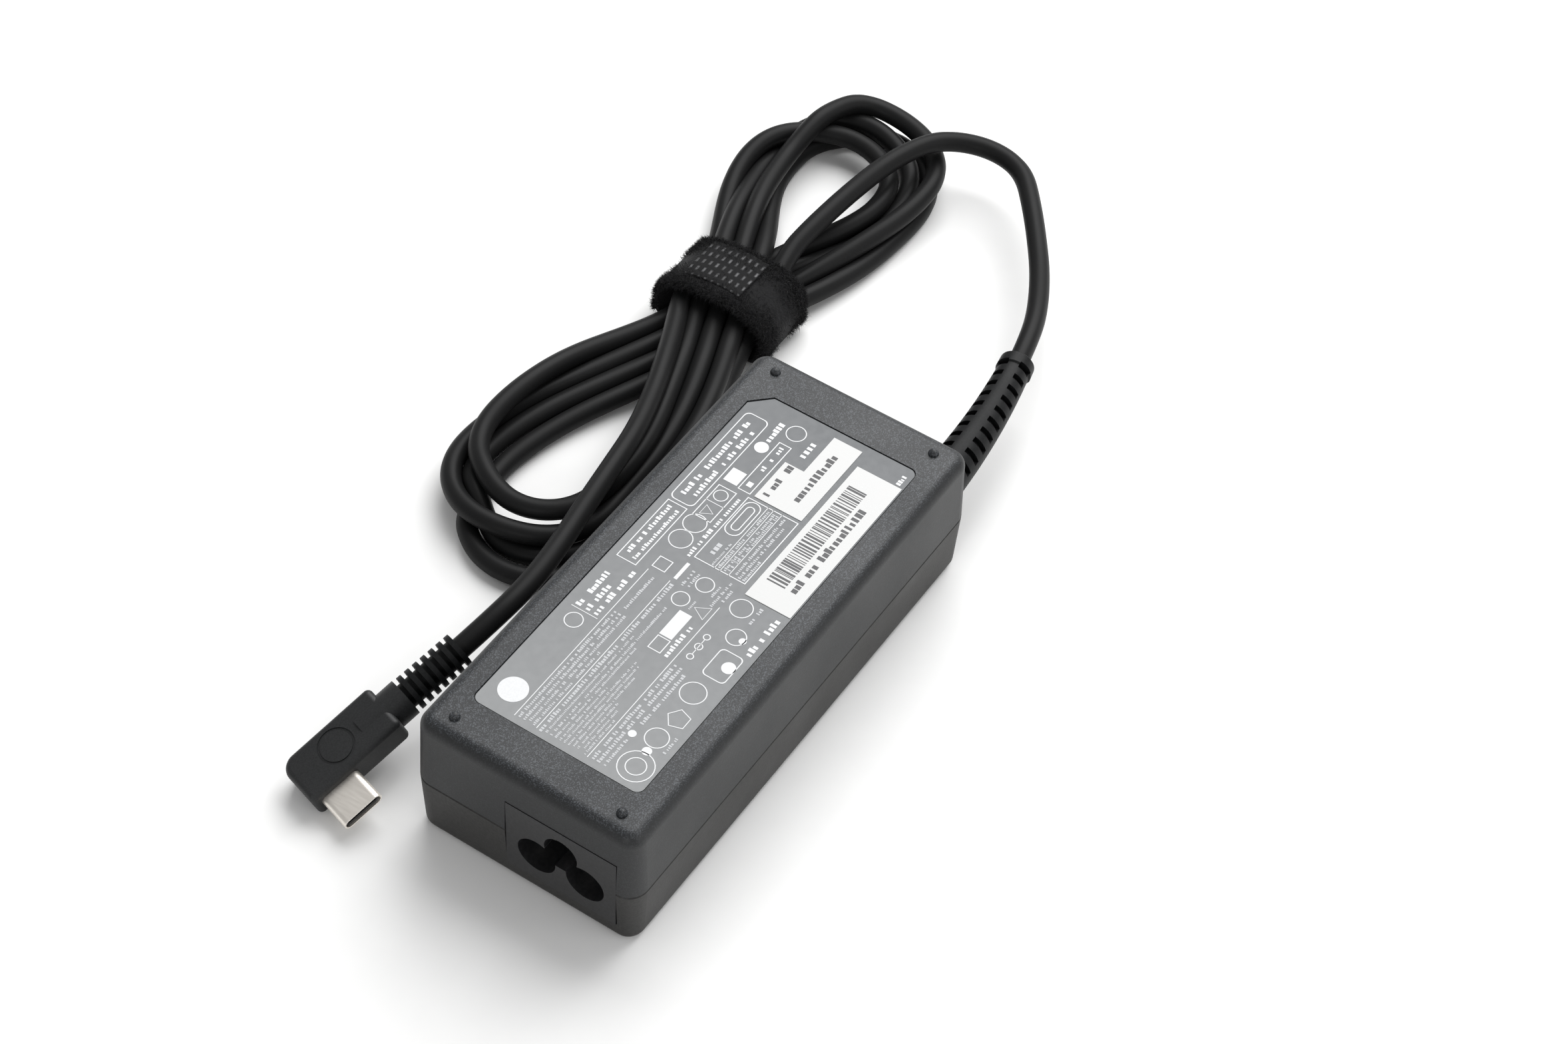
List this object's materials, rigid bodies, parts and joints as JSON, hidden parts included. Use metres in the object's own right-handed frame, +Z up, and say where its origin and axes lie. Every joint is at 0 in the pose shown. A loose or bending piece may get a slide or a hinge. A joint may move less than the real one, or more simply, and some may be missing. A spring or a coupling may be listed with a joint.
{
  "type": "laptop power adapter",
  "caption": "Rectangular laptop power adapter with a three-lobed mains inlet, rating label, and a tied output cord that ends in a right-angle USB-C plug.",
  "frame": {"origin": "middle of the underside of the case", "axes": "+X along the case towards the end that the output cord leaves, +Z up through the label face, +Y towards the side where the tied cord lies"},
  "size_m": [0.2076, 0.0933, 0.0304],
  "materials": {
    "case_plastic": "fine speckled moulded plastic",
    "lower_case_plastic": "fine matte moulded plastic",
    "label_film": "printed film",
    "sticker_paper": "matte printed paper",
    "inlet_plastic": "satin",
    "plated_pin": "nickel plated",
    "board_laminate": "solder mask",
    "dark_component": "moulded package",
    "yellow_component": "moulded box",
    "ferrite": "sintered",
    "copper_wire": "enamelled copper",
    "blue_component": "dipped coating",
    "can_sleeve": "shrunk sleeve",
    "sink_metal": "stamped plate",
    "screw_steel": "zinc plated",
    "winding_tape": "polyester tape",
    "shield_metal": "thin sheet",
    "insulation_film": "fibre and film sheet",
    "red_wire": "wire jacket",
    "black_wire": "wire jacket",
    "cord_jacket": "satin flexible jacket",
    "tie_fabric": "hook and loop fabric",
    "tie_tab": "woven shiny patch",
    "plug_plastic": "satin overmould",
    "shell_steel": "nickel plated",
    "gold_contact": "gold plated"
  },
  "bodies": {
    "root": {"top_shell": "case_plastic", "bottom_shell": "lower_case_plastic", "rating_label": "label_film", "barcode_sticker": "sticker_paper", "revision_sticker": "sticker_paper", "ac_inlet_body": "inlet_plastic", "inlet_pin_line": "plated_pin", "inlet_pin_neutral": "plated_pin", "inlet_pin_earth": "plated_pin", "circuit_board": "board_laminate", "fuse": "plated_pin", "x_capacitor": "yellow_component", "choke_core": "ferrite", "choke_windings": "copper_wire", "inrush_thermistor": "dark_component", "bridge_rectifier": "dark_component", "bulk_capacitor": "can_sleeve", "y_capacitor": "blue_component", "primary_heatsink": "sink_metal", "power_transistor": "dark_component", "secondary_heatsink": "sink_metal", "output_rectifier": "dark_component", "heatsink_screws": "screw_steel", "transformer_core": "ferrite", "transformer_bobbin": "dark_component", "transformer_winding": "winding_tape", "output_capacitors": "can_sleeve", "output_inductor": "ferrite", "optocoupler": "dark_component", "controller_chip": "dark_component", "output_protocol_board": "board_laminate", "surface_mount_parts": "dark_component", "emi_shield": "shield_metal", "insulation_sheet": "insulation_film", "output_wire_positive": "red_wire", "output_wire_negative": "black_wire", "output_strain_relief": "cord_jacket", "cord_lead_case": "cord_jacket", "cord_lead_plug": "cord_jacket", "cord_hank": "cord_jacket", "cable_tie_strap": "tie_fabric", "cable_tie_tab": "tie_tab", "plug_overmold": "plug_plastic", "plug_strain_relief": "plug_plastic", "usb_shell": "shell_steel", "usb_insulator": "inlet_plastic", "usb_contacts": "gold_contact", "plug_circuit_board": "board_laminate"}
  },
  "joints": []
}
